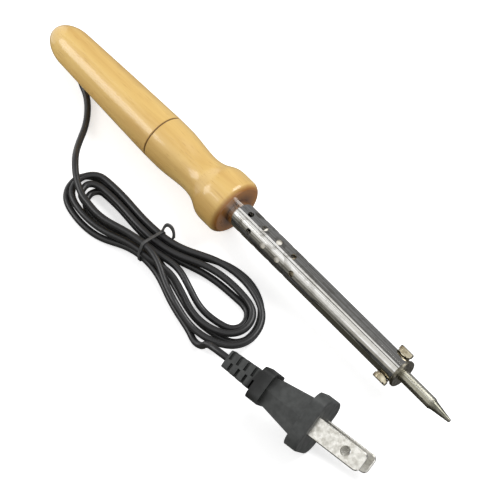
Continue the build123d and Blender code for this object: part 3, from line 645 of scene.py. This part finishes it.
def plated_tip():
    """Drawing lines along the shank, and a point that heat has darkened."""
    material, tree, shader = new_material("plated_tip")
    x = placed(tree, "X")
    tip_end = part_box("tip")[1][0]
    lines = grain(tree, DRAWING_GRAIN, 4.0)
    spots = grain(tree, FINE_GRAIN, 5.0)
    colour = blended(tree, ranged(tree, lines, 0.40, 0.62), TIP_SHANK_DARK, TIP_SHANK_LIGHT)
    point_start, point_dark = tip_end - 1.1 * POINT_LENGTH * MM, tip_end - 0.8 * POINT_LENGTH * MM
    towards_point = ranged(tree, x, point_start, point_dark, 0.0, 0.75)
    colour = blended(tree, towards_point, colour, TIP_POINT_COLOUR)
    colour = blended(tree, ranged(tree, spots, 0.60, 0.72, 0.0, 0.5), colour, TIP_POINT_COLOUR)
    link_or_set(tree, colour, shader.inputs["Base Color"])
    link_or_set(tree, ranged(tree, spots, 0.3, 0.7, 0.22, 0.36), shader.inputs["Roughness"])
    shader.inputs["Metallic"].default_value = 1
    relief(tree, shader, lines, 0.04, 0.02)
    return material


finish_nodes(plated_tip(), "tip")

# Tip screws and washers --------------------------------------------------------------------------
# Zinc plated cheese-head screws and plain washers with a yellow passivated sheen, tarnished
# brown in patches.

ZINC_TARNISH, ZINC_YELLOW = (0.20, 0.155, 0.085), (0.78, 0.72, 0.55)
zinc_plate = mottled(
    "zinc_plate", ZINC_TARNISH, ZINC_YELLOW, (420, 420, 420), (0.10, 0.22), metal=1.0, bump=0.10
)
finish_nodes(zinc_plate, "tip_screw_left", "tip_screw_right", "tip_washer_left", "tip_washer_right")

# Heater ------------------------------------------------------------------------------------------
# A fired ceramic tube wound with resistance wire between two wraps of mica, with a two-bore
# ceramic bushing behind it. All of it stands inside the barrel.

WIRE_PITCH = 0.45


def banded(name, dark, light, pitch, metal, roughness, depth):
    """Close round turns across the X axis, such as wound wire or braid rows, with painted shade between."""
    material, tree, shader = new_material(name)
    x = placed(tree, "X")
    turn = worked(tree, "SINE", worked(tree, "MULTIPLY", x, 2 * math.pi / (pitch * MM)))
    noise = grain(tree, (700, 700, 700), 4.0)
    # Painted shade: the dark colour fills the troughs between the turns.
    colour = blended(tree, ranged(tree, turn, -1.0, 0.4), dark, light)
    colour = blended(tree, ranged(tree, noise, 0.5, 0.7, 0.0, 0.4), colour, dark)
    link_or_set(tree, colour, shader.inputs["Base Color"])
    link_or_set(tree, ranged(tree, noise, 0.3, 0.7, roughness, roughness + 0.15), shader.inputs["Roughness"])
    shader.inputs["Metallic"].default_value = metal
    relief(tree, shader, turn, 0.6, depth)
    return material


CERAMIC_DARK, CERAMIC_PALE = (0.68, 0.64, 0.55), (0.84, 0.81, 0.74)
MICA_BROWN, MICA_PALE = (0.36, 0.29, 0.17), (0.66, 0.58, 0.42)
# The wire's dark colour is painted shade between its turns, and is also mixed in at random as darker
# patches.
WIRE_GAP_SHADE, WIRE_GREY = (0.07, 0.06, 0.05), (0.42, 0.39, 0.35)
fired_ceramic = mottled("fired_ceramic", CERAMIC_DARK, CERAMIC_PALE, (800, 800, 800), (0.6, 0.8))
finish_nodes(fired_ceramic, "heater_core", "insulator_bushing")
mica_sheet = mottled("mica_sheet", MICA_BROWN, MICA_PALE, (350, 900, 900), (0.3, 0.6), bump=0.3)
finish_nodes(mica_sheet, "mica_inner", "mica_outer")
resistance_wire = banded(
    "resistance_wire", WIRE_GAP_SHADE, WIRE_GREY, WIRE_PITCH, metal=1.0, roughness=0.35, depth=0.1
)
finish_nodes(resistance_wire, "heater_winding")

# Leads and splices -------------------------------------------------------------------------------
# Bare nickel leads in woven glass sleeves, crimped to the cord's two insulated cores.

BRAID_PITCH = 0.8

LEAD_DULL, LEAD_BRIGHT = (0.42, 0.40, 0.36), (0.70, 0.68, 0.62)
BRAID_SHADE, BRAID_WHITE = (0.55, 0.52, 0.43), (0.86, 0.84, 0.76)
BRASS_SHOWING, BRASS_TINNED = (0.52, 0.46, 0.32), (0.78, 0.74, 0.62)
CORE_DARK, CORE_GREY = (0.22, 0.22, 0.23), (0.30, 0.30, 0.31)
nickel_wire = mottled("nickel_wire", LEAD_DULL, LEAD_BRIGHT, (300, 2000, 2000), (0.25, 0.4), metal=1.0)
finish_nodes(nickel_wire, "heater_lead_a", "heater_lead_b")
glass_braid = banded(
    "glass_braid", BRAID_SHADE, BRAID_WHITE, BRAID_PITCH, metal=0.0, roughness=0.7, depth=0.12
)
finish_nodes(glass_braid, "lead_sleeve_a", "lead_sleeve_b")
tinned_brass = mottled(
    "tinned_brass", BRASS_SHOWING, BRASS_TINNED, (500, 500, 500), (0.25, 0.45), metal=1.0
)
finish_nodes(tinned_brass, "crimp_a", "crimp_b", "plug_crimp_a", "plug_crimp_b")
core_pvc = mottled("core_pvc", CORE_DARK, CORE_GREY, FINE_GRAIN, (0.35, 0.5))
finish_nodes(core_pvc, "core_a", "core_b", "plug_core_a", "plug_core_b")
finish_nodes(cord_skin, "cord_inner", "plug_cord")

# Plug --------------------------------------------------------------------------------------------
# Moulded black PVC round a bridge that holds the blades: a flange, a ridged body that tapers to
# a block, and a slotted strain relief. The blades are nickel plated brass, stained by handling.

PVC_DARK, PVC_GREY = (0.052, 0.054, 0.053), (0.074, 0.077, 0.075)
PVC_PAINTED_SHADE = (0.012, 0.012, 0.012)
# X of the block's rear and front, and of where its painted shade has faded into the body
BLOCK_REAR, BLOCK_FRONT, SHADE_END = 47.5, 50.0, 58.0
PVC_SPECULAR = 0.25


def moulded_pvc():
    """Matt moulded PVC, with shade painted darker on the block."""
    material, tree, shader = new_material("moulded_pvc")
    x = placed(tree, "X")
    noise = grain(tree, (520, 520, 520), 5.0)
    colour = blended(tree, ranged(tree, noise, 0.35, 0.65), PVC_DARK, PVC_GREY)
    # Painted shade: the block is darkened, and the darkening fades out along the body.
    before_body = ranged(tree, x, BLOCK_FRONT * MM, SHADE_END * MM, 0.85, 0.0)
    block_painted_shade = worked(tree, "MULTIPLY", before_body, ranged(tree, x, (BLOCK_REAR - 1) * MM, BLOCK_REAR * MM))
    colour = blended(tree, block_painted_shade, colour, PVC_PAINTED_SHADE)
    link_or_set(tree, colour, shader.inputs["Base Color"])
    link_or_set(tree, ranged(tree, noise, 0.3, 0.7, 0.50, 0.38), shader.inputs["Roughness"])
    shader.inputs["Specular IOR Level"].default_value = PVC_SPECULAR
    relief(tree, shader, noise, 0.25, 0.06)
    return material


finish_nodes(moulded_pvc(), "plug_body", "plug_bridge")
PLATE_STAINED, PLATE_BRIGHT = (0.60, 0.58, 0.52), (0.95, 0.935, 0.875)
nickel_plate = mottled(
    "nickel_plate", PLATE_STAINED, PLATE_BRIGHT, (750, 750, 750), (0.24, 0.40), metal=1.0, bump=0.18
)
finish_nodes(nickel_plate, "blade_upper", "blade_lower")
